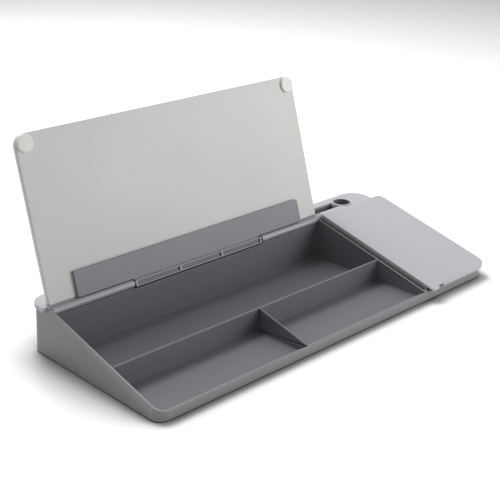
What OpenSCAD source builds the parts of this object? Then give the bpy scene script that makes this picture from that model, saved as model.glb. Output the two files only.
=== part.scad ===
// Desk easel: a wedge-shaped tray with pen trays, a lift-off side lid, a rear deck with a
// phone slot and a pen cup, and a magnetic writing board that flips up on a long hinge.
// Working frame: x from the left end of the footprint, y from its front edge to the rear,
// z up from the desk. The finished part stands over the middle of its own outline.

/* [Base] */
// Width of the base below the deck
base_w = 392; // [380:0.5:440]
// Depth of the base where it meets the desk
base_d = 153; // [150:0.5:175]
// Height of the deck above the desk
deck_z = 43; // [40:0.5:50]
// Thickness of the outer and inner walls
wall_t = 1.8; // [1.4:0.1:2.4]
// Thickness of the floor
floor_t = 2.1; // [1.6:0.1:2.6]
// How far the foot of the left wall stands out from its top
left_flare = 1.4; // [0.5:0.1:2]
// How far the foot of the right wall stands out from its top
right_flare = 5; // [3:0.1:6]
// How far the rear wall leans out by the height of the deck
rear_lean = 1.6; // [0.5:0.1:3]
// How far the front face leans out for each unit of height
front_lean = 0.1; // [0.05:0.01:0.12]
// Distance that the foot of the front face stands ahead of the trays' zero line
front_out = 2; // [1.6:0.1:2.2]
// Thickness of the front wall along its ridge
ridge_t = 0.9; // [0.7:0.1:1.2]
// Plan radius of the front corners
front_r = 10; // [6:0.5:14]
// Plan radius of the rear corners
rear_r = 8.5; // [6:0.5:9]
// Slope of the tray rim from front to rear
slope_a = 14; // [12.5:0.1:15]

/* [Pen trays] */
// Thickness of the dividers
divider_t = 1.5; // [1:0.1:2.2]
// Distance from the front edge to the middle of the long divider
long_divider_y = 53.4; // [45:0.1:70]
// Distance from the left end to the middle of the cross divider
cross_divider_x = 154.5; // [110:0.5:200]
// Depth of the sloping inner face behind the front wall
ramp_d = 10; // [6:0.1:12]

/* [Side lid] */
// Width of the lid
lid_w = 87.5; // [70:0.5:100]
// Overhang of the lid past the right end of the footprint
lid_over = 8; // [6:0.1:10]
// Thickness of the lid's plate
lid_t = 2; // [1.5:0.1:2.5]
// Depth of the lid's front and right skirts below its top
lid_skirt = 4.6; // [3.5:0.1:6]
// Thickness of the lid's skirts
lid_skirt_t = 1.6; // [1.2:0.1:1.6]
// Height of the bin walls above the slope of the tray rim
bin_rise = 2.3; // [1.5:0.1:3]
// Width of the groove between the tray and the bin
groove_w = 2.2; // [1.6:0.1:3]
// Distance that the lid's front edge stands ahead of the base
lid_front = 3.6; // [3.6:0.1:5]
// Width of the pull tab at the lid's front left corner
tab_w = 10.5; // [8:0.5:16]
// Length of the pull tab
tab_l = 3.4; // [2:0.1:5]
// Width of the finger gap below the pull tab
notch_w = 14; // [10:0.5:20]
// Radius of the lid's front right corner
lid_r = 11; // [6:0.5:14]
// Radius of the lid's rear right corner
lid_rear_r = 6; // [3:0.5:8]

/* [Deck] */
// Thickness of the deck plate
deck_t = 2.5; // [2:0.1:3.5]
// Height of the deck's outer edge
deck_edge = 4; // [3.2:0.1:5]
// How far the deck's edge stands out past the walls
deck_over = 1.3; // [0.6:0.1:2]
// Overhang of the deck past the left end
deck_left = 3.7; // [3:0.1:4.5]
// Plan radius of the deck's rear corners
deck_r = 15.3; // [14:0.1:16]
// Left end of the phone slot
slot_x0 = 9; // [6:0.5:30]
// Distance from the hinge axis to the front of the phone slot
slot_off = 5.1; // [4.9:0.1:6.5]
// Width of the phone slot from front to rear
slot_w = 11.4; // [9:0.1:13]
// Depth of the phone slot below the deck
slot_depth = 15; // [10:0.5:22]
// Thickness of the slot trough's walls
trough_t = 1.2; // [0.8:0.1:1.2]
// Distance from the right end of the footprint to the middle of the pen cup
cup_inset = 34; // [32:0.5:42]
// Distance from the hinge axis to the middle of the pen cup
cup_off = 10.5; // [10:0.1:12]
// Inner radius of the pen cup
cup_r = 8.4; // [7:0.1:8.4]
// Thickness of the pen cup's wall
cup_t = 0.9; // [0.6:0.1:0.9]
// Depth of the pen cup
cup_depth = 36; // [25:0.5:38]
// Width of the pen cup's flange
flange_w = 0.9; // [0.6:0.1:1.2]
// Height of the pen cup's flange
flange_t = 0.7; // [0.4:0.1:1.2]

/* [Hinge] */
// Distance from the rear edge of the base to the hinge axis
hinge_inset = 23.5; // [22:0.1:26]
// Radius of the hinge bars
bar_r = 3.1; // [2.8:0.1:3.2]
// Radius of the hinge rod
rod_r = 1; // [0.8:0.05:1.2]
// Running clearance around the rod
rod_gap = 0.05; // [0.02:0.01:0.08]
// Left end of the knuckle
knuckle_x0 = 84.5; // [60:0.5:110]
// Width of the knuckle
knuckle_w = 147; // [110:1:170]
// Thickness of each friction washer
washer_t = 1; // [0.6:0.1:1.6]
// Side play at each face of a friction washer
washer_gap = 0.3; // [0.2:0.05:0.4]
// Left end of the flap's plate
flap_x0 = 28.5; // [15:0.5:50]
// Width of the flap's plate
flap_w = 259.5; // [200:0.5:270]
// Height of the flap's top edge above the hinge axis, along the board
flap_len = 25.4; // [18:0.1:35]
// Thickness of the flap's plate
flap_t = 2.3; // [1.8:0.1:2.6]
// Radius of the flap's corners
flap_r = 3.5; // [2:0.5:6]
// Distance from the left bar's right end to the nearer moulding slot below it
core_inset = 4.5; // [2:0.5:8]
// Distance between the two moulding slots
core_pitch = 40.5; // [20:0.5:60]
// Length of each moulding slot
core_l = 3.5; // [2:0.1:5]
// Number of pockets in the knuckle
pocket_n = 3; // [2:1:5]
// Width of the ribs between the pockets
rib_t = 1.6; // [1:0.1:3]
// Depth of the pockets
pocket_d = 1.3; // [0.8:0.1:1.3]

/* [Board] */
// Lean of the open board above the horizontal
tilt_a = 72.8; // [65:0.1:78]
// How far the closed board reaches past the front edge of the base
board_over = 6.3; // [5.8:0.1:7.2]
// Left edge of the board
board_x0 = 2.5; // [1:0.1:5]
// Side gap between the board and the side lid
board_gap = 0.9; // [0.7:0.1:1.5]
// Distance from the hinge axis to the board's underside
board_off = 2.42; // [2.3:0.02:2.6]
// Thickness of the backing panel
backing_t = 1.4; // [1:0.1:1.6]
// Thickness of the magnetic steel sheet
steel_t = 0.5; // [0.3:0.1:0.7]
// Thickness of the writing glass
glass_t = 3.2; // [2.5:0.1:3.4]
// Radius of the board's top corners
board_r = 10; // [5:0.5:14]
// Thickness of the bonding tape
tape_t = 0.4; // [0.3:0.1:0.6]
// Margin of the tape inside the flap's edges
tape_margin = 2.5; // [1.5:0.5:4]
// Margin of the steel sheet inside the board's edges
steel_margin = 1; // [0.5:0.1:3]
// Radius of the corner bumpers
bumper_r = 7.3; // [5:0.1:7.5]
// Thickness of the corner bumpers
bumper_t = 2.2; // [1.6:0.1:2.6]
// Distance from the board's edges to the middle of a bumper
bumper_inset = 7.9; // [7.6:0.1:10]

/* [Feet] */
// Radius of the rubber feet
foot_r = 5; // [3:0.5:8]
// Height of the feet below the base
foot_h = 0.5; // [0.4:0.1:1.2]
// Depth of the sockets that hold the feet
foot_socket = 0.8; // [0.5:0.1:0.9]
// Distance from the base's edges to the middle of a foot
foot_inset = 15; // [13:0.5:25]

/* [Hidden] */
$fn = 64;

// clearances
rest_gap = 0.3;
seat_gap = 0.3;
eps = 0.02;
far = 60;

// hinge axis, and the board's top edge measured from it
hinge_y = base_d - hinge_inset;
board_len = (hinge_y + board_over) / cos(slope_a);

// heights
hinge_z = deck_z - bar_r;
bar_seat = hinge_z - bar_r - 0.2;
floor_z = foot_h + floor_t;
deck_low = deck_z - deck_edge;
plate_low = deck_z - deck_t;
// slope of the rim at a given y, and planes parallel to it
function rim(y) = hinge_z + (board_off - rest_gap) / cos(slope_a) + tan(slope_a) * (y - hinge_y);
function lid_low(y) = rim(y) + bin_rise + eps;
function lid_top(y) = rim(y) + bin_rise + lid_t;
// front face of the base at a given height
function front_y(z) = -front_out - front_lean * (z - foot_h);
// how far the left and right walls stand out at a given height
function left_out(z) = left_flare * (1 - (z - foot_h) / (deck_low - foot_h));
function right_out(z) = right_flare * (1 - (z - foot_h) / (deck_low - foot_h));

// board and knuckle
board_t = backing_t + steel_t + glass_t;
foot_u = (bar_r + board_off * cos(tilt_a) + backing_t * cos(tilt_a) + seat_gap) / sin(tilt_a);
glass_u = (bar_r + (board_off + board_t) * cos(tilt_a) + 2 * seat_gap) / sin(tilt_a);
flap_u = bar_r + 0.5;
web_z = min(deck_z, hinge_z + flap_u * sin(tilt_a) - (board_off - tape_t) * cos(tilt_a) - seat_gap);
knuckle_r = bar_r + 0.2;
lip_low = -bar_r + 0.2;
lip_high = bar_r - 0.7;
lip_w = bar_r - 0.5;
rim_t = 0.6;

// widths
lid_x1 = base_w + lid_over;
lid_x0 = lid_x1 - lid_w;
bin_x0 = lid_x0 - 0.4;
tray_x1 = bin_x0 - groove_w - wall_t;
board_x1 = lid_x0 - board_gap;
board_w = board_x1 - board_x0;
knuckle_x1 = knuckle_x0 + knuckle_w;
hinge_span = washer_t + 2 * washer_gap;
bar_l_x0 = wall_t - left_out(bar_seat) + 0.05;
bar_l_x1 = knuckle_x0 - hinge_span;
bar_r_x0 = knuckle_x1 + hinge_span;
bar_r_x1 = lid_x0 + 5.5;
deck_x0 = -deck_left;
deck_x1 = base_w + deck_over;

// depths
rear_wall_y = hinge_y - 1.9;
deck_front = hinge_y + 3.9;
deck_rear = base_d + rear_lean + deck_over;
slot_y0 = hinge_y + slot_off;
slot_y1 = slot_y0 + slot_w;
cup_x = base_w - cup_inset;
cup_y = hinge_y + cup_off;
lid_y1 = hinge_y - 3.9;
wall_end = hinge_y - bar_r - 0.6;
bin_front = lid_skirt_t - lid_front + 0.3 + wall_t;
knuckle_sweep = sqrt(pow(lip_low, 2) + pow(lip_w, 2));
ridge_y = front_y(rim(0)) + ridge_t;

// the middle of the outline, over which the part stands
x_mid = (deck_x0 + lid_x1) / 2;
y_max = hinge_y + board_len * cos(tilt_a) + (board_off + board_t) * sin(tilt_a);
y_mid = (y_max - lid_front - tab_l) / 2;

module placed() translate([-x_mid, -y_mid, 0]) children();
module on_board() placed() translate([0, hinge_y, hinge_z]) rotate([tilt_a, 0, 0]) children();

// a profile in y and z, drawn out along x
module along_x(x0, x1) translate([x0, 0, 0]) rotate([90, 0, 90]) linear_extrude(x1 - x0) children();
// a profile in x and z, drawn out along y
module along_y(y0, y1) translate([0, y1, 0]) rotate([90, 0, 0]) linear_extrude(y1 - y0) children();
module block(a, b) translate(a) cube(b - a);

// a rectangle with its own radius at each corner: front left, front right, rear right, rear left
module plan(x0, y0, x1, y1, r) {
    difference() {
        translate([x0, y0]) square([x1 - x0, y1 - y0]);
        for (c = [[x0, y0, 1, 1, r[0]], [x1, y0, -1, 1, r[1]], [x1, y1, -1, -1, r[2]], [x0, y1, 1, -1, r[3]]])
            if (c[4] > 0) translate([c[0], c[1]]) scale([c[2], c[3]]) difference() {
                translate([-1, -1]) square(c[4] + 1);
                translate([c[4], c[4]]) circle(c[4]);
            }
    }
}

// outline of the base at a height, in steps of 11.25 degrees around each corner
function body_ring(inset, z) = let(
        b = base_d + rear_lean * (z - foot_h) / (deck_low - foot_h) - rear_r,
        // the front wall thins to its ridge
        f = front_y(z) + front_r - (inset > 0 ? inset - ridge_t : 0),
        l = -left_out(z), w = base_w + right_out(z))
    [for (c = [[l + front_r, f, front_r, 180], [w - front_r, f, front_r, 270], [w - rear_r, b, rear_r, 0], [l + rear_r, b, rear_r, 90]],
          k = [0:8]) let(a = c[3] + 11.25 * k) [c[0] + (c[2] - inset) * cos(a), c[1] + (c[2] - inset) * sin(a), z]];

// body of the base, leaning with height, set in by a wall or not at all
module base_body(inset, z0, z1) {
    n = 36;
    polyhedron(concat(body_ring(inset, z0), body_ring(inset, z1)),
        concat([[for (i = [0:n - 1]) i]], [[for (i = [0:n - 1]) 2 * n - 1 - i]],
            [for (i = [0:n - 1]) [i, n + i, n + (i + 1) % n, (i + 1) % n]]));
}

module base_shell() color("#7d7d7c") placed() difference() {
    base_body(0, foot_h, deck_z + 1);
    // above the tray rim, and behind it below the deck's edge
    along_x(-20, bin_x0) polygon([[-30, rim(-30)], [deck_front, rim(deck_front)], [deck_front, deck_low], [base_d + 20, deck_low], [base_d + 20, far], [-30, far]]);
    // above the bin walls, and behind them below the deck
    along_x(bin_x0 - eps, base_w + 30) polygon([[-30, rim(-30) + bin_rise], [wall_end, rim(wall_end) + bin_rise],
        [wall_end, deck_low], [base_d + 21, deck_low], [base_d + 21, far + 1], [-30, far + 1]]);
    // seat of the hinge bars
    block([bar_l_x0 - eps, wall_end, bar_seat], [bar_r_x1, deck_front + 1, far + 2]);
    // room for the turning knuckle
    block([bar_l_x1, wall_end + 0.2, hinge_z - knuckle_sweep - 0.5], [bar_r_x0, deck_front + 2, far + 3]);
    // finger gap in the front wall below the pull tab
    along_y(-30, bin_front + 0.3) polygon([[bin_x0 - eps, rim(-front_out)], [bin_x0 + notch_w, rim(-front_out)],
        [bin_x0 + notch_w + 5, rim(-front_out) + 4], [bin_x0 + notch_w + 5, far + 4], [bin_x0 - eps, far + 4]]);
    // ledge below the lid's front skirt
    along_x(bin_x0 + notch_w + 4.9, base_w + 31) polygon([[-31, rim(-31) + bin_rise + lid_t - lid_skirt - 0.4],
        [lid_skirt_t - lid_front + 0.3, rim(lid_skirt_t - lid_front + 0.3) + bin_rise + lid_t - lid_skirt - 0.4],
        [lid_skirt_t - lid_front + 0.3, far + 5], [-31, far + 5]]);
    // pen trays and rear compartment
    intersection() {
        base_body(wall_t, floor_z - 1, far);
        along_x(-20, tray_x1) polygon([[ridge_y, rim(ridge_y)], [ridge_y + ramp_d, floor_z], [rear_wall_y, floor_z],
            [rear_wall_y, far], [ridge_y, far]]);
    }
    // groove beside the tray
    block([bin_x0 - groove_w, ridge_y + 3, floor_z], [bin_x0, rear_wall_y, far]);
    // bin under the side lid, and the hollow under the deck
    intersection() {
        base_body(wall_t, floor_z - 1, far);
        union() {
            block([bin_x0 + wall_t, bin_front, floor_z], [base_w + 10, rear_wall_y, far]);
            block([-10, rear_wall_y + wall_t, floor_z], [base_w + 10, base_d + 10, far]);
        }
    }
    // sockets for the feet
    for (x = [foot_inset, base_w - foot_inset], y = [foot_inset, base_d - foot_inset])
        translate([x, y, foot_h - 1]) cylinder(r = foot_r + 0.1, h = 1 + foot_socket);
}

module long_divider() color("#838383") placed()
    intersection() {
        along_x(-5, tray_x1 - eps) polygon([[long_divider_y - divider_t / 2, floor_z + eps],
            [long_divider_y + divider_t / 2, floor_z + eps],
            [long_divider_y + divider_t / 2, rim(long_divider_y + divider_t / 2)],
            [long_divider_y - divider_t / 2, rim(long_divider_y - divider_t / 2)]]);
        along_y(0, base_d) polygon([[wall_t + eps - left_out(foot_h), foot_h], [tray_x1, foot_h], [tray_x1, far],
            [wall_t + eps - left_out(far), far]]);
    }

module cross_divider() color("#838383") placed()
    along_x(cross_divider_x - divider_t / 2, cross_divider_x + divider_t / 2)
        polygon([[ridge_y + 2 * eps, rim(ridge_y)], [ridge_y + ramp_d + 2 * eps, floor_z + eps],
            [long_divider_y - divider_t / 2 - eps, floor_z + eps],
            [long_divider_y - divider_t / 2 - eps, rim(long_divider_y - divider_t / 2)]]);

module top_deck() color("#bebfc1") placed() difference() {
    union() {
        difference() {
            translate([0, 0, deck_low]) linear_extrude(deck_edge)
                plan(deck_x0, deck_front, deck_x1, deck_rear, [0, 0, deck_r, deck_r]);
            // hollow behind the outer edge
            translate([0, 0, deck_low - 1]) linear_extrude(1 + plate_low - deck_low)
                plan(wall_t, deck_front - 1, base_w - wall_t,
                    deck_rear - deck_over - wall_t, [0, 0, rear_r - wall_t, rear_r - wall_t]);
        }
        // infill between the right hinge bar and the right end, in line with the bar
        block([bar_r_x1, hinge_y - 3.5, deck_low + eps], [base_w, deck_front + eps, deck_z]);
    }
    // phone slot, which stops at the ring around the pen cup
    difference() {
        block([slot_x0, slot_y0, deck_low - 1], [cup_x, slot_y1, far]);
        translate([cup_x, cup_y, 0]) cylinder(r = cup_r + cup_t + flange_w + 0.4, h = far);
    }
    translate([cup_x, cup_y, 0]) cylinder(r = cup_r + cup_t + 0.1, h = far);
}

module slot_trough() color("#6f7073") placed() difference() {
    block([slot_x0 - trough_t, slot_y0 - trough_t, deck_z - slot_depth - trough_t],
        [cup_x, slot_y1 + trough_t, plate_low - eps]);
    block([slot_x0, slot_y0, deck_z - slot_depth], [cup_x - cup_r - cup_t - seat_gap - trough_t, slot_y1, far]);
    // the right end follows the pen cup
    difference() {
        block([cup_x - 20, slot_y0, deck_z - slot_depth], [cup_x, slot_y1, far]);
        translate([cup_x, cup_y, 0]) cylinder(r = cup_r + cup_t + seat_gap + trough_t, h = far);
    }
    translate([cup_x, cup_y, 0]) cylinder(r = cup_r + cup_t + seat_gap, h = far);
}

module pen_cup() color("#bebfc1") placed() translate([cup_x, cup_y, 0]) difference() {
    union() {
        translate([0, 0, deck_z + eps]) cylinder(r = cup_r + cup_t + flange_w, h = flange_t);
        translate([0, 0, deck_z - cup_depth - cup_t]) cylinder(r = cup_r + cup_t, h = cup_depth + cup_t + flange_t);
    }
    translate([0, 0, deck_z - cup_depth]) cylinder(r = cup_r, h = cup_depth + 2);
}

// a fixed bar of the hinge: round in front, with a web back to the deck
module hinge_bar(x0, x1) difference() {
    union() {
        along_x(x0, x1) translate([hinge_y, hinge_z]) circle(bar_r);
        along_x(x0, x1) polygon([[hinge_y, hinge_z - bar_r], [deck_front - eps, hinge_z - bar_r],
            [deck_front - eps, web_z], [hinge_y, web_z]]);
    }
    along_x(x0 - 1, x1 + 1) translate([hinge_y, hinge_z]) circle(rod_r + rod_gap);
}

module hinge_bar_left() color("#9c9d9f") placed() difference() {
    hinge_bar(bar_l_x0, bar_l_x1);
    // moulding slots below the bar
    for (x = [bar_l_x1 - core_inset, bar_l_x1 - core_inset - core_pitch])
        block([x, hinge_y - bar_r - 1, hinge_z - bar_r - 1],
            [x + core_l, hinge_y - bar_r / 2, hinge_z - 0.6 * bar_r]);
}

module hinge_bar_right() color("#b4b5b8") placed() hinge_bar(bar_r_x0, bar_r_x1 - eps);

module hinge_rod() color("#9a9a9a") placed()
    along_x(bar_l_x0 + 2, bar_r_x1 - 2) translate([hinge_y, hinge_z]) circle(rod_r);

module friction_washers() color("#1e1e20") placed()
    for (x = [bar_l_x1 + washer_gap, knuckle_x1 + washer_gap])
        along_x(x, x + washer_t) translate([hinge_y, hinge_z]) difference() {
            circle(bar_r);
            circle(rod_r + rod_gap);
        }

module hinge_flap() color("#77797d") on_board() difference() {
    union() {
        // plate bonded to the board
        translate([0, 0, -board_off + tape_t]) linear_extrude(flap_t)
            plan(flap_x0, flap_u, flap_x0 + flap_w, flap_len, [flap_r / 2, flap_r / 2, flap_r, flap_r / 3]);
        // knuckle around the rod
        along_x(knuckle_x0, knuckle_x1) circle(knuckle_r);
        along_x(knuckle_x0, knuckle_x1) polygon([[lip_low, 0], [lip_high, 0], [lip_high, lip_w], [lip_low, lip_w]]);
        along_x(knuckle_x0, knuckle_x1) polygon([[0, -board_off + tape_t], [flap_u + 3, -board_off + tape_t],
            [flap_u + 3, -board_off + tape_t + flap_t], [0, -board_off + tape_t + flap_t]]);
    }
    along_x(knuckle_x0 - 1, knuckle_x1 + 1) circle(rod_r + rod_gap);
    // pockets, open to the front
    pitch = (knuckle_w - rib_t) / pocket_n;
    for (i = [0 : pocket_n - 1])
        block([knuckle_x0 + rib_t + i * pitch, lip_low + rim_t, lip_w - pocket_d],
            [knuckle_x0 + (i + 1) * pitch, lip_high - rim_t, lip_w + 2]);
}

module flap_tape() color("#d8d8d6") on_board() translate([0, 0, -board_off + eps]) linear_extrude(tape_t - 2 * eps)
    plan(flap_x0 + tape_margin, flap_u + tape_margin, flap_x0 + flap_w - tape_margin, flap_len - tape_margin,
        [1, 1, 1, 1]);

module backing_panel() color("#b9bab8") on_board() translate([0, 0, -board_off - backing_t]) linear_extrude(backing_t)
    plan(board_x0, foot_u, board_x1, board_len, [1, 1, board_r, board_r]);

module steel_sheet() color("#8f9194") on_board()
    translate([0, 0, -board_off - backing_t - steel_t]) linear_extrude(steel_t - eps)
        plan(board_x0 + steel_margin, glass_u + steel_margin, board_x1 - steel_margin, board_len - steel_margin,
            [1, 1, board_r - steel_margin, board_r - steel_margin]);

module writing_glass() color("#e9ebea") on_board()
    translate([0, 0, -board_off - board_t]) linear_extrude(glass_t - eps)
        plan(board_x0, glass_u, board_x1, board_len, [1, 1, board_r, board_r]);

module bumper(x) on_board() translate([x, board_len - bumper_inset, -board_off + eps])
    cylinder(r = bumper_r, h = bumper_t - eps);
module bumper_left() color("#eeeeec") bumper(board_x0 + bumper_inset);
module bumper_right() color("#eeeeec") bumper(board_x1 - bumper_inset);

module side_lid() color("#bebfc1") placed() difference() {
    union() {
        // plate and skirts from one sloping slab
        intersection() {
            along_x(lid_x0, lid_x1) polygon([[-lid_front - tab_l, lid_top(-lid_front - tab_l) - lid_skirt],
                [lid_y1, lid_top(lid_y1) - lid_skirt], [lid_y1, lid_top(lid_y1)],
                [-lid_front - tab_l, lid_top(-lid_front - tab_l)]]);
            linear_extrude(far) union() {
                plan(lid_x0, -lid_front, lid_x1, lid_y1, [0, lid_r, lid_rear_r, 0]);
                plan(lid_x0, -lid_front - tab_l, lid_x0 + tab_w, 10, [2, 2, 0, 0]);
            }
        }
        // locating rim that drops into the bin
        intersection() {
            along_x(bin_x0 + wall_t + 0.4, base_w - wall_t - 0.4) polygon([[wall_t + 2, lid_low(wall_t + 2) - 2.4],
                [rear_wall_y - 0.6, lid_low(rear_wall_y) - 2.4], [rear_wall_y - 0.6, lid_low(rear_wall_y) + 1],
                [wall_t + 2, lid_low(wall_t) + 1]]);
            linear_extrude(far) difference() {
                plan(bin_x0 + wall_t + 0.4, wall_t + 2, base_w - wall_t - 0.4, lid_y1 - 2, [0, 4, 4, 4]);
                plan(bin_x0 + wall_t + 1.6, wall_t + 3.2, base_w - wall_t - 1.6, lid_y1 - 3.2, [0, 3, 3, 3]);
            }
        }
    }
    // space between the skirts, below the plate, open to the left and to the rear
    intersection() {
        along_x(lid_x0 - 1, lid_x1 + 1) polygon([[-30, lid_low(-30) - 30], [lid_y1 + 1, lid_low(lid_y1 + 1) - 30],
            [lid_y1 + 1, lid_low(lid_y1 + 1)], [-30, lid_low(-30)]]);
        linear_extrude(far) difference() {
            union() {
                plan(lid_x0 - 1, -lid_front + lid_skirt_t, lid_x1 - lid_skirt_t, lid_y1 + 1,
                    [0, lid_r - lid_skirt_t, lid_rear_r - lid_skirt_t, 0]);
                // no front skirt over the finger gap
                translate([lid_x0 - 1, -lid_front - tab_l - 1]) square([bin_x0 + notch_w + 6.5 - lid_x0 + 1, 12]);
            }
            // the locating rim stays
            difference() {
                plan(bin_x0 + wall_t + 0.4, wall_t + 2, base_w - wall_t - 0.4, lid_y1 - 2, [0, 4, 4, 4]);
                plan(bin_x0 + wall_t + 1.6, wall_t + 3.2, base_w - wall_t - 1.6, lid_y1 - 3.2, [0, 3, 3, 3]);
            }
        }
    }
}

module rubber_feet() color("#2a2a2b") placed()
    for (x = [foot_inset, base_w - foot_inset], y = [foot_inset, base_d - foot_inset])
        translate([x, y, 0]) cylinder(r = foot_r, h = foot_h + foot_socket - eps);

base_shell();
long_divider();
cross_divider();
top_deck();
slot_trough();
pen_cup();
hinge_bar_left();
hinge_bar_right();
hinge_rod();
friction_washers();
hinge_flap();
flap_tape();
backing_panel();
steel_sheet();
writing_glass();
bumper_left();
bumper_right();
side_lid();
rubber_feet();
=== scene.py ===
import math

import bmesh
import bpy
import numpy as np
from mathutils import Matrix, Vector


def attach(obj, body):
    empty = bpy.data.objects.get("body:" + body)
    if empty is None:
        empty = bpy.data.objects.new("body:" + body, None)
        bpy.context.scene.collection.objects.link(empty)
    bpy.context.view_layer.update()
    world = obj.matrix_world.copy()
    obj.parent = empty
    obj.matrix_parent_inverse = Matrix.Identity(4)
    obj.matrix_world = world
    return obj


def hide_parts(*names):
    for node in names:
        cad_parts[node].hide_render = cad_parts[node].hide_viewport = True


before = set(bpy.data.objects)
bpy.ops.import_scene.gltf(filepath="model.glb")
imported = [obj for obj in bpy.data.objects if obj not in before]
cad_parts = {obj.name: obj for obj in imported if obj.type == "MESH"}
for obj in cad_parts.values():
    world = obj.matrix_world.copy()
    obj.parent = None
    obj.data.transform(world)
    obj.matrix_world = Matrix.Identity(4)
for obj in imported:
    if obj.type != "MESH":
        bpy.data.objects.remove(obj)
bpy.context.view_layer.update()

# Sizes in millimetres and angles in radians, the same values as in the part's source, except that
# the knuckle's pockets are 0.2 mm deeper.
# A working point is measured from the front left corner of the trays, and MIDDLE is taken off at the end.
MIDDLE = np.array([198.15, 85.535, 0.0])

# base
base_w, base_d, deck_z, deck_low = 392.0, 153.0, 43.0, 39.0
wall_t, floor_t, left_flare = 1.8, 2.1, 1.4
front_lean, front_out, ridge_t, front_r = 0.1, 2.0, 0.9, 10.0
foot_r, foot_h, foot_socket, foot_inset = 5.0, 0.5, 0.8, 15.0
floor_z = foot_h + floor_t
long_divider_y, cross_divider_x, divider_t = 53.4, 154.5, 1.5
tray_x1, ramp_d = 308.1, 10.0
cup_x, cup_y, cup_r, cup_t, cup_depth = 358.0, 140.0, 8.4, 0.9, 36.0
hairline = 0.02

# hinge
slope, tilt = math.radians(14.0), math.radians(72.8)
hinge_y, bar_r = 129.5, 3.1
hinge_z = deck_z - bar_r
deck_front, web_z = hinge_y + 3.9, 42.44
bar_r_x0, bar_r_x1 = 233.1, 318.0

# side lid
lid_x0, lid_x1, lid_y0, lid_y1 = 312.5, 400.0, -3.6, hinge_y - 3.9
lid_t, lid_skirt, lid_skirt_t, lid_r, lid_rear_r = 2.0, 4.6, 1.6, 11.0, 6.0
tab_w, tab_l, bin_rise, skirt_x0 = 10.5, 3.4, 2.3, 332.6
bin_x0 = lid_x0 - 0.4

# board, flap and knuckle, in the board's own axes
board_off, rest_gap = 2.42, 0.3
board_x0, board_x1, board_r = 2.5, 311.6, 10.0
board_len = (hinge_y + 6.3) / math.cos(slope)
backing_t, steel_t, glass_t = 1.4, 0.5, 3.2
foot_u, glass_u = 4.74, 6.2
bumper_r, bumper_t, bumper_inset = 7.3, 2.2, 7.9
flap_x0, flap_w, flap_u, flap_len, flap_t, flap_r, tape_t = 28.5, 259.5, 3.6, 25.4, 2.3, 3.5, 0.4
knuckle_x0, knuckle_w, rib_t, pocket_n, pocket_d, lip_t = 84.5, 147.0, 1.6, 3, 1.5, 0.8
lip_low, lip_high, lip_w = 0.2 - bar_r, bar_r - 0.7, bar_r - 0.5


def rim(y):
    """Height of the trays' sloping rim at a depth y: a straight line at the slope through the hinge."""
    return hinge_z + (board_off - rest_gap) / math.cos(slope) + math.tan(slope) * (y - hinge_y)


def front_y(z):
    """Depth of the front face at a height z: it leans forwards a little as it rises."""
    return -front_out - front_lean * (z - foot_h)


def left_out(z):
    """How far the left wall stands out at a height z: most at its foot, and nothing below the deck."""
    return left_flare * (1 - (z - foot_h) / (deck_low - foot_h))


ridge_y = front_y(rim(0)) + ridge_t


# Surfaces

def quads(rows, cols):
    """Faces between neighbouring rows of a grid of points whose columns close into a ring."""
    a, b = np.meshgrid(np.arange(rows - 1), np.arange(cols), indexing="ij")
    right = (b + 1) % cols
    ring = [a * cols + b, a * cols + right, (a + 1) * cols + right, (a + 1) * cols + b]
    return np.stack(ring, -1).reshape(-1, 4)


def closed_loft(rows):
    """A closed form: each row is one closed outline, joined to the next, and both ends are shut."""
    p = np.asarray(rows, float)
    m, n, _ = p.shape
    ends = [list(range(n - 1, -1, -1)), list(range((m - 1) * n, m * n))]
    return p.reshape(-1, 3), quads(m, n).tolist() + ends


def rounded(corners, radii, steps=5):
    """A closed outline with soft corners: at a corner C the edges stop at A and B, the radius short of
    it, and the curve between them is (1-t)^2 A + 2t(1-t) C + t^2 B for t from 0 to 1."""
    c = np.asarray(corners, float)
    r = np.broadcast_to(np.asarray(radii, float), len(c))[:, None]
    back, ahead = np.roll(c, 1, 0) - c, np.roll(c, -1, 0) - c
    a = c + r * back / np.linalg.norm(back, axis=1, keepdims=True)
    b = c + r * ahead / np.linalg.norm(ahead, axis=1, keepdims=True)
    t = np.linspace(0, 1, steps)[None, :, None]
    curve = (1 - t) ** 2 * a[:, None] + 2 * t * (1 - t) * c[:, None] + t ** 2 * b[:, None]
    return curve.reshape(-1, 2)


def inward(outline):
    """Unit normals of a counter-clockwise outline, pointing in: the chord between a point's
    neighbours, turned by a quarter."""
    chord = np.roll(outline, -1, 0) - np.roll(outline, 1, 0)
    n = np.stack([-chord[:, 1], chord[:, 0]], 1)
    return n / np.linalg.norm(n, axis=1, keepdims=True)


def plate_outline(x0, y0, x1, y1, radii, inset=0.0, steps=9):
    """A rectangle moved in by the inset, each corner an arc whose radius shrinks by the inset.
    Corners run front left, front right, rear right, rear left."""
    r = np.maximum(np.asarray(radii, float), 1e-3)
    m = np.maximum(r, inset)[:, None]
    k = np.maximum(r - inset, 1e-3)[:, None]
    towards = np.array([[1, 1], [-1, 1], [-1, -1], [1, -1]])
    centre = np.array([[x0, y0], [x1, y0], [x1, y1], [x0, y1]]) + m * towards
    a = np.radians([180, 270, 0, 90])[:, None] + np.linspace(0, math.pi / 2, steps)[None, :]
    ring = np.stack([centre[:, :1] + k * np.cos(a), centre[:, 1:] + k * np.sin(a)], -1)
    return ring.reshape(-1, 2)


def edge_arc(r, steps=4):
    """A quarter circle from a flat face to a side: how far in, r(1 - sin a), and how far down,
    r(1 - cos a), for a from 0 to 90 degrees."""
    a = np.linspace(0, math.pi / 2, steps)
    return np.stack([r * (1 - np.sin(a)), r * (1 - np.cos(a))], 1)


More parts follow.
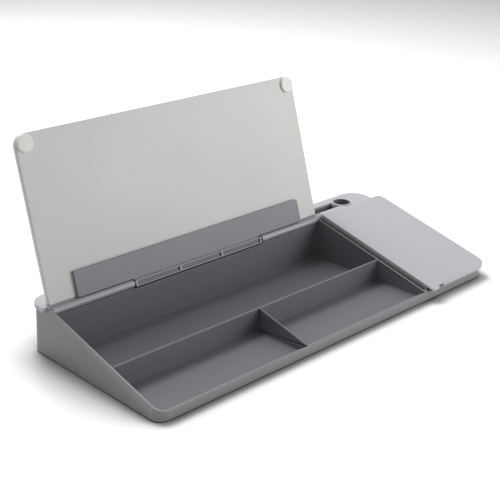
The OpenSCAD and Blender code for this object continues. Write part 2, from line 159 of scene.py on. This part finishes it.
def plate(x0, y0, x1, y1, radii, z0, z1, r_low, r_high):
    """A plate from z0 to z1 whose outline is drawn in at both faces along a quarter circle."""
    low, high = edge_arc(r_low), edge_arc(r_high)[::-1]
    steps = [(i, z0 + d) for i, d in low] + [(i, z1 - d) for i, d in high]
    rows = []
    for inset, z in steps:
        ring = plate_outline(x0, y0, x1, y1, radii, inset)
        rows.append(np.column_stack([ring, np.full(len(ring), z)]))
    return closed_loft(rows)


def drawn_bar(outline, x0, x1, r=0.25):
    """A bar: an outline in y and z carried along x, and drawn in along its own normals at both
    ends along a quarter circle of radius r."""
    n, arc = inward(outline), edge_arc(r)
    steps = [(i, x0 + d) for i, d in arc] + [(i, x1 - d) for i, d in arc[::-1]]
    return closed_loft([np.column_stack([np.full(len(outline), x), outline + i * n]) for i, x in steps])


def turned(profile, centre, z0, steps=48):
    """A turned form: a profile of radius and height goes once round the upright axis through centre."""
    a = np.linspace(0, 2 * math.pi, steps, endpoint=False)
    p = np.asarray(profile, float)
    r, h = np.maximum(p[:, :1], hairline), p[:, 1:]
    return closed_loft(np.stack([centre[0] + r * np.cos(a), centre[1] + r * np.sin(a), z0 + h + 0 * a], -1))


def on_board(points):
    """From the board's axes (x, u up the board, w above its rest plane) to the working frame: a turn
    about the hinge by the angle at which the board stands open."""
    x, u, w = np.asarray(points, float).T
    y = hinge_y + u * math.cos(tilt) - w * math.sin(tilt)
    z = hinge_z + u * math.sin(tilt) + w * math.cos(tilt)
    return np.stack([x, y, z], 1)


# Objects

def placed(name, mesh, body, material, nodes=(), smooth=32):
    """Puts a mesh into the scene as a finished piece, with its faces outwards and soft shading."""
    work = bmesh.new()
    work.from_mesh(mesh)
    bmesh.ops.recalc_face_normals(work, faces=work.faces)
    work.to_mesh(mesh)
    work.free()
    mesh.shade_smooth()
    mesh.set_sharp_from_angle(angle=math.radians(smooth))
    mesh.materials.clear()
    mesh.materials.append(material)
    obj = bpy.data.objects.new(name, mesh)
    bpy.context.scene.collection.objects.link(obj)
    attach(obj, body)
    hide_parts(*nodes)
    return obj


def flat_faces_first(obj):
    """Weights the shading of a piece towards its large faces."""
    m = obj.modifiers.new("flat faces", "WEIGHTED_NORMAL")
    m.keep_sharp = True
    m.weight = 80


def piece(name, forms, body, material, nodes, board=False):
    """One object from closed forms in millimetres, set in metres in the shared frame."""
    points, faces, count = [], [], 0
    for p, f in forms:
        points.append(on_board(p) if board else np.asarray(p, float))
        faces += [[i + count for i in face] for face in f]
        count += len(p)
    mesh = bpy.data.meshes.new(name)
    mesh.from_pydata(((np.concatenate(points) - MIDDLE) / 1000).tolist(), [], faces)
    obj = placed(name, mesh, body, material, nodes)
    flat_faces_first(obj)
    return obj


def merged_copy(node):
    """The solid's own faces, merged, with the seams inside each flat face dissolved."""
    work = bmesh.new()
    work.from_mesh(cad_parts[node].data)
    bmesh.ops.remove_doubles(work, verts=work.verts, dist=2e-6)
    bmesh.ops.dissolve_limit(work, angle_limit=math.radians(0.6), verts=work.verts, edges=work.edges,
                             delimit={"NORMAL"})
    return work


def softened(work, node, name, body, material, width):
    """A moulding with holes and cut-outs, which no single profile gives: a merged copy of the solid,
    with every edge sharper than 30 degrees rounded to the width in millimetres. An edge stays sharp
    where a face beside it is narrower than three widths, or one and a half for an edge over 100 mm."""
    chosen = work.edges.layers.float.new("bevel_weight_edge")
    for e in work.edges:
        if len(e.link_faces) == 2 and abs(e.calc_face_angle(0)) > math.radians(30):
            long_edge = e.calc_length() > 0.1
            room = min(f.calc_area() for f in e.link_faces) / e.calc_length() * 1000
            e[chosen] = float(room > (1.5 if long_edge else 3) * width)
    mesh = bpy.data.meshes.new(name)
    work.to_mesh(mesh)
    work.free()
    obj = placed(name, mesh, body, material, (node,))
    m = obj.modifiers.new("rounded edges", "BEVEL")
    m.width = width / 1000
    m.segments = 3
    m.limit_method = "WEIGHT"
    m.use_clamp_overlap = False
    m.miter_outer = "MITER_ARC"
    flat_faces_first(obj)
    return obj


def more_finishes(obj, finishes, choice):
    """Gives more materials to a piece. For each face, choice gives 0 for the first or 1, 2 for the rest."""
    for finish in finishes:
        obj.data.materials.append(finish)
    for face in obj.data.polygons:
        face.material_index = int(choice(face))


# Materials

def linear(hex_colour):
    """An sRGB hex colour as linear red, green, blue and alpha."""
    c = [int(hex_colour[i:i + 2], 16) / 255 for i in (1, 3, 5)]
    return [v / 12.92 if v <= 0.04045 else ((v + 0.055) / 1.055) ** 2.4 for v in c] + [1.0]


def add(tree, kind, inputs=None, **settings):
    """Adds a node with its settings. Each input is a number, a colour or another node's output."""
    n = tree.nodes.new(kind)
    for key, value in settings.items():
        setattr(n, key, value)
    for key, value in (inputs or {}).items():
        if isinstance(value, bpy.types.NodeSocket):
            tree.links.new(value, n.inputs[key])
        else:
            n.inputs[key].default_value = value
    return n


def material(name, hex_colour, rough, ior, cloud_mm=60, grain_mm=0.9, grain=0.05, drift=0.03, spread=0.06,
             edge=0.0, **constants):
    """A finished surface. Its colour drifts by the share drift over about cloud_mm, its grain has the
    spacing grain_mm, its roughness varies by spread with both, and edge paints a highlight on its
    convex edges: they are made lighter, by up to that share of the way to half again as light."""
    m = bpy.data.materials.new(name)
    m.use_nodes = True
    t = m.node_tree
    shader = t.nodes["Principled BSDF"]
    place = add(t, "ShaderNodeTexCoord").outputs["Object"]
    cloud = add(t, "ShaderNodeTexNoise", {"Vector": place, "Scale": 1000 / cloud_mm, "Detail": 3.0})
    fine = add(t, "ShaderNodeTexNoise", {"Vector": place, "Scale": 1000 / grain_mm, "Detail": 2.0,
                                         "Roughness": 0.6})
    both = add(t, "ShaderNodeMath", {0: cloud.outputs["Fac"], 1: fine.outputs["Fac"]}, operation="ADD")
    span = {"Value": both.outputs[0], "From Min": 0.6, "From Max": 1.4}
    amount = add(t, "ShaderNodeMapRange", span)
    base = np.array(linear(hex_colour))[:3]
    colour = add(t, "ShaderNodeMix", {0: amount.outputs[0], 6: [*(base * (1 - drift)), 1.0],
                                      7: [*np.minimum(base * (1 + drift), 1), 1.0]}, data_type="RGBA")
    if edge:
        # painted highlight: a convex edge is made lighter, as far as the vertices beside it, for the light
        # that rounded edges catch
        edge_convexity = add(t, "ShaderNodeNewGeometry").outputs["Pointiness"]
        painted_edge_highlight = add(t, "ShaderNodeMapRange", {"Value": edge_convexity, "From Min": 0.52, "From Max": 0.62,
                                               "To Min": 0.0, "To Max": edge})
        colour = add(t, "ShaderNodeMix", {0: painted_edge_highlight.outputs[0], 6: colour.outputs[2],
                                          7: [*np.minimum(base * 1.5, 1), 1.0]}, data_type="RGBA")
    dull = add(t, "ShaderNodeMapRange", {**span, "To Min": rough - spread, "To Max": rough + spread})
    bump = add(t, "ShaderNodeBump", {"Height": fine.outputs["Fac"], "Strength": grain, "Distance": 0.0004})
    t.links.new(colour.outputs[2], shader.inputs["Base Color"])
    t.links.new(dull.outputs[0], shader.inputs["Roughness"])
    t.links.new(bump.outputs[0], shader.inputs["Normal"])
    shader.inputs["IOR"].default_value = ior
    for key, value in constants.items():
        shader.inputs[key.replace("_", " ")].default_value = value
    return m


# The grains below are drawn at two to four times their real spacing, so that they show.
# ABS from a spark-eroded mould: an even mid grey with a fine matt grain
tray_abs = material("spark_grained_grey_abs", "#89898b", rough=0.46, ior=1.53, grain=0.08, edge=0.8)
# the same ABS inside the trays and in the knuckle's pockets, with a coarser grain; its darker, a
# little cooler tone is painted shade, for the shade that falls in the trays and the pockets
painted_shade_abs = material("coarse_grey_abs_painted_shade", "#6b6d71", rough=0.56, ior=1.53, grain_mm=1.1, grain=0.12)
# the same ABS in the thin dividers, smoother, as plain inserts are; its darker tone is painted
# shade, for the shade that falls inside the trays
divider_abs_painted_shade = material("smooth_grey_abs_painted_shade", "#696b70", rough=0.42, ior=1.53, edge=0.8)
# ABS with a fine metallic pigment and a satin face: the pale silver of the deck and the lid
silver_abs = material("satin_silver_abs", "#b6b7bb", rough=0.38, ior=1.53, grain_mm=1.2, drift=0.02,
                      edge=0.2)
# the same pigment in the hinge bars, whose round faces show a soft bright line; the lips and ribs of
# the knuckle get it too as a painted highlight, lighter than the flap they are moulded with
bar_abs = material("satin_grey_abs", "#a6a7ab", rough=0.32, ior=1.53, drift=0.02)
# ABS, darker and matt: the flap
flap_abs = material("matt_dark_grey_abs", "#7e8085", rough=0.5, ior=1.53, edge=0.9)
# polypropylene, moulded, waxy and grey: the liner of the slot and the cup below its flange
liner_pp = material("moulded_grey_polypropylene", "#77787b", rough=0.55, ior=1.49)
# acetal, cut from black sheet: slightly waxy washers
washer_acetal = material("black_acetal", "#1c1c1e", rough=0.35, ior=1.48)
# high-impact polystyrene sheet at the back of the board: smooth, pale and faintly warm
backing_sheet = material("pale_polystyrene_sheet", "#cfcfcc", rough=0.4, ior=1.59, grain_mm=1.6, grain=0.02,
                         drift=0.012)
# tempered glass with white paint on its far side: bright under a hard clear gloss
glass_paint = material("back_painted_glass", "#e9ebea", rough=0.06, ior=1.52, grain_mm=3.0, grain=0.0,
                       drift=0.008, spread=0.02, Coat_Weight=0.3)
# silicone rubber bumpers: milky, light goes a little way in
silicone = material("milky_silicone", "#f0f0ed", rough=0.3, ior=1.41, drift=0.02, Subsurface_Weight=0.25,
                    Subsurface_Scale=0.002)
# nitrile rubber feet: black and matt
foot_rubber = material("black_nitrile_rubber", "#2a2a2b", rough=0.7, ior=1.52)
# acrylic foam tape: white, with a matt cut edge
foam_tape = material("white_acrylic_foam", "#d8d8d6", rough=0.75, ior=1.48)
# mild steel, rolled and zinc plated: a dull metal with cloudy plating
zinc_steel = material("zinc_plated_steel", "#a9abad", rough=0.3, ior=1.5, grain_mm=1.0, drift=0.05,
                      Metallic=1.0)

for node, finish in (("slot_trough", liner_pp), ("hinge_rod", zinc_steel), ("steel_sheet", zinc_steel),
                     ("friction_washers", washer_acetal), ("flap_tape", foam_tape)):
    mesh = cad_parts[node].data
    mesh.materials.clear()
    mesh.materials.append(finish)


# Base

def rolled_front(work, depth=2.4, roll=0.78, reach=8, fade=6):
    """Rolls the top of the front wall over: at a distance d below the rim, up to depth, the outer face
    moves in by roll (1 - sqrt(1 - (1 - d/depth)^2)). It fades in past the left corner, over the length
    fade, and stops where the lid's groove begins. Only the mesh within reach of the face is cut."""
    up = Vector((0.0, -math.sin(slope), math.cos(slope)))
    start = Vector((0.0, -MIDDLE[1] / 1000, rim(0) / 1000))
    for part in (0.04, 0.15, 0.35, 0.62, 1.0):
        low = start - up * (depth * part / 1000)
        near = [g for g in [*work.verts, *work.edges, *work.faces]
                if all(v.co.y < (front_y(0) + reach - MIDDLE[1]) / 1000 for v in getattr(g, "verts", [g]))]
        bmesh.ops.bisect_plane(work, geom=near, plane_co=low, plane_no=up, dist=1e-6)
    verts = list(work.verts)
    p = np.array([v.co for v in verts]) * 1000 + MIDDLE
    outer = np.abs(p[:, 1] - front_y(p[:, 2])) < 0.03
    d = np.clip((rim(p[:, 1]) - p[:, 2]) * math.cos(slope), 0, depth)
    along = np.clip((p[:, 0] + left_flare - front_r) / fade, 0, 1) * (p[:, 0] < bin_x0)
    shift = roll * (1 - np.sqrt(1 - (1 - d / depth) ** 2)) * along * outer
    for v, s in zip(verts, shift / 1000):
        v.co.y += s
    return work


def painted_shade_faces(face):
    """Whether a face of the tray moulding is a floor or a wall inside the trays, behind the ramp: such
    faces take the darker copy of the ABS, as painted shade.
    """
    x, y, z = np.array(face.center) * 1000 + MIDDLE
    in_plan = 0.3 < x < tray_x1 + 1 and ridge_y + ramp_d - 1 < y < deck_front + 1
    return in_plan and floor_z - 0.1 < z < rim(y) - 0.5 and face.normal.y < 0.5


trays = softened(rolled_front(merged_copy("base_shell")), "base_shell", "tray_moulding", "base", tray_abs,
                 0.4)
# painted shade: the floors and walls inside the trays take the darker copy of the ABS
more_finishes(trays, [painted_shade_abs], painted_shade_faces)
softened(merged_copy("top_deck"), "top_deck", "rear_deck", "base", silver_abs, 0.35)


def lid_top(y):
    """Height of the lid's sloping face at a depth y."""
    return rim(y) + bin_rise + lid_t


def lid_shell():
    """The lid's plate with its skirt: one outline, with the pull tab at its front left corner, goes
    from the face over a rounded edge, down the side by the skirt's depth or the plate's, and up inside."""
    corners = [[lid_x0, lid_y0 - tab_l], [lid_x0 + tab_w, lid_y0 - tab_l], [lid_x0 + tab_w, lid_y0],
               [skirt_x0 - 0.05, lid_y0], [skirt_x0 + 0.05, lid_y0], [lid_x1, lid_y0], [lid_x1, lid_y1],
               [lid_x0, lid_y1]]
    outline = rounded(corners, [2, 1.6, 1.2, 0.01, 0.01, lid_r, lid_rear_r, 0.3], 9)
    n = inward(outline)
    skirted = (outline[:, 0] > skirt_x0) & (outline[:, 1] < lid_y1 - 1)
    depth = np.where(skirted, lid_skirt, lid_t)
    wall = np.where(skirted, lid_skirt_t, 0.6)
    foot = [(wall, lid_t), (wall, depth - 0.2), (wall - 0.2, depth), (0.25, depth), (0.0, depth - 0.25)]
    loops = []
    for inset, drop in foot + list(edge_arc(0.45, 5)[::-1]):
        ring = outline + np.broadcast_to(inset, depth.shape)[:, None] * n
        loops.append(np.column_stack([ring, lid_top(ring[:, 1]) - drop]))
    return closed_loft(loops)


def locating_rim():
    """A low hoop below the lid's plate, which drops into the bin: two outlines a hoop's thickness
    apart, joined round by round into a closed ring."""
    gap, thick, soft = 0.4, 1.2, 0.3
    x0, x1, y0 = bin_x0 + wall_t + gap, base_w - wall_t - gap, wall_t + 2
    top, foot = bin_rise + 0.1, bin_rise - 2.4
    section = [(0, top), (0, foot + soft), (soft, foot), (thick - soft, foot), (thick, foot + soft),
               (thick, top)]
    loops = []
    for inset, lift in section:
        ring = plate_outline(x0, y0, x1, lid_y1 - 2, [0.1, 4, 4, 4], inset)
        loops.append(np.column_stack([ring, rim(ring[:, 1]) + lift]))
    p = np.array(loops)
    m, n = p.shape[:2]
    faces = np.concatenate([quads(m, n), quads(2, n) % n + np.where(quads(2, n) < n, (m - 1) * n, 0)])
    return p.reshape(-1, 3), faces.tolist()


piece("bin_lid", [lid_shell(), locating_rim()], "lid", silver_abs, ["side_lid"])


def long_divider():
    """The divider along the trays: a thin profile with a round top, carried along x from the leaning
    left wall, so its left end follows the wall's height."""
    half, top = divider_t / 2, rim(long_divider_y)
    lift = half * math.tan(slope)
    outline = rounded([[long_divider_y - half, floor_z], [long_divider_y + half, floor_z],
                       [long_divider_y + half, top + lift], [long_divider_y - half, top - lift]],
                      [0.05, 0.05, 0.55, 0.55])
    p, faces = drawn_bar(outline, 0.0, 1.0, 0.001)
    start = wall_t + hairline - left_out(p[:, 2])
    p[:, 0] = start + p[:, 0] * (tray_x1 - hairline - start)
    return p, faces


def cross_divider():
    """The divider from the ramp to the long divider: its outline in y and z, thickened along x, with
    its edges drawn in along a quarter circle."""
    y1 = long_divider_y - divider_t / 2 - hairline
    outline = rounded([[ridge_y + 0.04, rim(ridge_y) - 0.25], [ridge_y + ramp_d + 0.04, floor_z + hairline],
                       [y1, floor_z + hairline], [y1, rim(y1)]], [0.3, 0.1, 0.1, 0.1])
    return drawn_bar(outline, cross_divider_x - divider_t / 2, cross_divider_x + divider_t / 2, 0.55)


def pen_cup():
    """A thin turned tube with a closed foot and a rounded flange."""
    tube, lip = cup_r + cup_t, cup_r + cup_t + 0.9
    outside = [[0, -cup_depth - cup_t], [tube - 0.5, -cup_depth - cup_t], [tube, -cup_depth - cup_t + 0.5]]
    flange = [[tube, 0.02], [lip - 0.05, 0.02], [lip, 0.12], [lip, 0.35], [lip - 0.12, 0.58],
              [lip - 0.4, 0.7], [cup_r + 0.35, 0.7], [cup_r + 0.1, 0.6], [cup_r, 0.35]]
    inside = [[cup_r, -cup_depth + 0.8], [cup_r - 0.8, -cup_depth], [0, -cup_depth]]
    return turned(outside + flange + inside, (cup_x, cup_y), deck_z)


def foot_pad(x, y):
    """A turned pad, rounded where it meets the desk."""
    top = foot_h + foot_socket - hairline
    profile = [[0, 0], [foot_r - 0.5, 0], [foot_r - 0.15, 0.12], [foot_r, 0.4], [foot_r, top], [0, top]]
    return turned(profile, (x, y), 0.0, 32)


piece("long_tray_divider", [long_divider()], "base", divider_abs_painted_shade, ["long_divider"])
piece("cross_tray_divider", [cross_divider()], "base", divider_abs_painted_shade, ["cross_divider"])
cup = piece("pen_cup_tube", [pen_cup()], "base", silver_abs, ["pen_cup"])
more_finishes(cup, [liner_pp], lambda face: face.center.z * 1000 < deck_z)
piece("rubber_foot_pads", [foot_pad(x, y) for x in (foot_inset, base_w - foot_inset)
                           for y in (foot_inset, base_d - foot_inset)],
      "base", foot_rubber, ["rubber_feet"])


# Hinge

def bar_outline():
    """A hinge bar's section: round in front, from below the axis up over the top, with a web back to
    the deck."""
    a = np.radians(np.linspace(-90, -230, 29))
    front = np.stack([hinge_y + bar_r * np.cos(a), hinge_z + bar_r * np.sin(a)], 1)
    shoulder = hinge_y - math.sqrt(bar_r ** 2 - (web_z - hinge_z) ** 2)
    front = front[(front[:, 1] < web_z) | (front[:, 0] < shoulder)]
    b = np.radians(np.linspace(-236, -270, 8))
    over = np.stack([hinge_y + bar_r * np.cos(b), hinge_z + bar_r * np.sin(b)], 1)
    web_y = deck_front - hairline
    back = [[hinge_y + 1.8, web_z], [web_y, web_z], [web_y, hinge_z - bar_r]]
    return np.concatenate([front, over, back])[::-1]


def knuckle():
    """The knuckle: a web under the flap, a core about the rod, two thin lips along its open face, and
    ribs between them, in that order."""
    x0, x1 = knuckle_x0, knuckle_x0 + knuckle_w
    w0 = tape_t - board_off
    floor_w = lip_w - pocket_d
    flush = w0 + flap_t - hairline
    core = rounded([[lip_low + 0.1, -1.2], [-1.5, w0 - 0.2], [flap_u + 1, w0], [flap_u + 1, w0 + 1],
                    [lip_high, w0 + 1.6], [lip_high, floor_w], [lip_low, floor_w]], [0.8, 0.8] + [0.1] * 5)
    web = rounded([[lip_high - 0.4, w0], [flap_u + 3, w0], [flap_u + 3, flush],
                   [lip_high - 0.4, flush]], 0.1)
    forms = [drawn_bar(web, x0, x1, 0.2), drawn_bar(core, x0, x1, 0.2)]
    for low in (lip_low, lip_high - lip_t):
        section = [[low, -0.5], [low + lip_t, -0.5], [low + lip_t, lip_w], [low, lip_w]]
        forms.append(drawn_bar(rounded(section, [0.1, 0.1, 0.24, 0.24]), x0, x1, 0.2))
    rib = rounded([[lip_low + 0.1, -0.5], [lip_high - 0.1, -0.5], [lip_high - 0.1, lip_w - 0.02],
                   [lip_low + 0.1, lip_w - 0.02]], 0.1)
    for i in range(pocket_n + 1):
        start = x0 + i * (knuckle_w - rib_t) / pocket_n
        forms.append(drawn_bar(rib, start, start + rib_t, 0.15))
    return forms


def flap_plate():
    """The plate bonded to the board, with its own radius at each corner."""
    z0 = tape_t - board_off
    return plate(flap_x0, flap_u, flap_x0 + flap_w, flap_len, [flap_r / 2, flap_r / 2, flap_r, flap_r / 3],
                 z0, z0 + flap_t, 0.3, 0.5)


softened(merged_copy("hinge_bar_left"), "hinge_bar_left", "left_hinge_bar", "base", bar_abs,
         0.25)
piece("right_hinge_bar", [drawn_bar(bar_outline(), bar_r_x0, bar_r_x1 - hairline, 0.35)], "base", bar_abs,
      ["hinge_bar_right"])
flap_forms = [flap_plate()] + knuckle()
flap = piece("flap_and_knuckle", flap_forms, "board", flap_abs, ["hinge_flap"], board=True)
core_start = sum(len(faces) for _, faces in flap_forms[:2])
lip_start = core_start + len(flap_forms[2][1])


def knuckle_shade_and_highlight(face):
    """0 for the flap and its web, 1 for the core, whose darker copy is painted shade, and 2 for the
    lips and ribs, whose lighter grey is a painted highlight, by the face's number.
    """
    return (face.index >= core_start) + (face.index >= lip_start)


more_finishes(flap, [painted_shade_abs, bar_abs], knuckle_shade_and_highlight)


# Writing board

def board_sheet(u0, w0, thickness, r_low, r_high):
    """A sheet of the board: square at the hinge and with round far corners."""
    radii = [1, 1, board_r, board_r]
    return plate(board_x0, u0, board_x1, board_len, radii, w0, w0 + thickness, r_low, r_high)


def bumper(x):
    """A turned disc with a soft rim and a nearly flat face."""
    r, t = bumper_r, bumper_t
    side = [[0, hairline], [r - 0.15, hairline], [r, 0.15], [r, t - 0.9]]
    profile = side + [[r - 0.12, t - 0.5], [r - 0.4, t - 0.18], [r - 0.9, t - 0.04], [r - 1.5, t - 0.02],
                      [r * 0.5, t - 0.01], [0, t]]
    return turned(profile, (x, board_len - bumper_inset), -board_off)


glass_w = -board_off - backing_t - steel_t - glass_t
piece("board_backing", [board_sheet(foot_u, -board_off - backing_t, backing_t, 0.15, 0.35)], "board",
      backing_sheet, ["backing_panel"], board=True)
piece("glass_face", [board_sheet(glass_u, glass_w, glass_t - hairline, 0.6, 0.3)], "board", glass_paint,
      ["writing_glass"], board=True)
piece("left_bumper", [bumper(board_x0 + bumper_inset)], "board", silicone, ["bumper_left"],
      board=True)
piece("right_bumper", [bumper(board_x1 - bumper_inset)], "board", silicone, ["bumper_right"],
      board=True)


# Floor, light and camera

def seen_directly(tree):
    """1 for a ray from the camera, from a glossy reflection or through glass, otherwise 0."""
    path = add(tree, "ShaderNodeLightPath").outputs
    either = {0: path["Is Camera Ray"], 1: path["Is Glossy Ray"]}
    first = add(tree, "ShaderNodeMath", either, operation="MAXIMUM").outputs[0]
    any_of = {0: first, 1: path["Is Transmission Ray"]}
    return add(tree, "ShaderNodeMath", any_of, operation="MAXIMUM").outputs[0]


def stage_floor(half=6):
    """A pale matt floor. The camera sees it brighter than the object is lit by it, so that it is white
    where nothing shades it and keeps the object's shadow. On top of that, a painted shadow from an
    occlusion node darkens it within 45 mm of the object, for the camera and in reflections."""
    mesh = bpy.data.meshes.new("floor")
    corners = [(-half, -half, 0), (half, -half, 0), (half, half, 0), (-half, half, 0)]
    mesh.from_pydata(corners, [], [(0, 1, 2, 3)])
    floor = bpy.data.objects.new("floor", mesh)
    bpy.context.scene.collection.objects.link(floor)
    m = bpy.data.materials.new("white_floor")
    m.use_nodes = True
    t = m.node_tree
    t.nodes.remove(t.nodes["Principled BSDF"])
    # painted shadow: the floor is darkened near the object by occlusion, not by the lamps
    near = add(t, "ShaderNodeAmbientOcclusion", {"Distance": 0.045}, samples=8)
    painted_contact_shadow = add(t, "ShaderNodeMapRange", {"Value": near.outputs["AO"], "From Min": 0.4, "From Max": 0.97,
                                            "To Min": 0.1, "To Max": 1.3})
    shade = add(t, "ShaderNodeMix", {0: seen_directly(t), 2: 0.95, 3: painted_contact_shadow.outputs[0]})
    matt = add(t, "ShaderNodeBsdfDiffuse", {"Color": shade.outputs[0]})
    t.links.new(matt.outputs[0], t.nodes["Material Output"].inputs["Surface"])
    mesh.materials.append(m)


def studio_world(level):
    """An even white room: white to the camera and in reflections, and a soft fill at the level."""
    world = bpy.data.worlds.new("studio")
    bpy.context.scene.world = world
    world.use_nodes = True
    t = world.node_tree
    strength = add(t, "ShaderNodeMapRange", {"Value": seen_directly(t), "To Min": level, "To Max": 1.0})
    t.links.new(strength.outputs[0], t.nodes["Background"].inputs["Strength"])
    t.nodes["Background"].inputs["Color"].default_value = (1, 1, 1, 1)


def softbox(name, place, size, power):
    """A square soft light that looks at the middle of the object."""
    data = bpy.data.lights.new(name, "AREA")
    data.shape = "SQUARE"
    data.size = size
    data.energy = power
    obj = bpy.data.objects.new(name, data)
    turn = (-Vector(place)).to_track_quat("-Z", "Y").to_matrix().to_4x4()
    obj.matrix_world = Matrix.Translation(place) @ turn
    bpy.context.scene.collection.objects.link(obj)


def studio_camera():
    """The photograph's viewpoint: its place in metres and its heading, dip and roll in degrees."""
    place = (-0.63387, -0.59744, 0.41088)
    heading, dip, roll = np.radians([43.29, 19.31, 0.86])
    ahead = np.array([math.sin(heading) * math.cos(dip), math.cos(heading) * math.cos(dip), -math.sin(dip)])
    level = np.array([math.cos(heading), -math.sin(heading), 0.0])
    above = np.cross(level, ahead)
    right = math.cos(roll) * level + math.sin(roll) * above
    up = math.cos(roll) * above - math.sin(roll) * level
    data = bpy.data.cameras.new("camera")
    data.sensor_width = 36.0
    data.lens = 78.535
    data.shift_x, data.shift_y = 0.08, -0.12
    data.clip_start, data.clip_end = 0.05, 50
    camera = bpy.data.objects.new("camera", data)
    m = Matrix.Identity(4)
    for i in range(3):
        m[i][0], m[i][1], m[i][2], m[i][3] = right[i], up[i], -ahead[i], place[i]
    camera.matrix_world = m
    bpy.context.scene.collection.objects.link(camera)
    bpy.context.scene.camera = camera


stage_floor()
studio_world(0.22)
softbox("rear_softbox", (0.05, 0.85, 1.35), 0.9, 20)
softbox("front_softbox", (0.85, -0.95, 0.5), 0.9, 9)
studio_camera()
bpy.context.scene.view_settings.view_transform = "Standard"
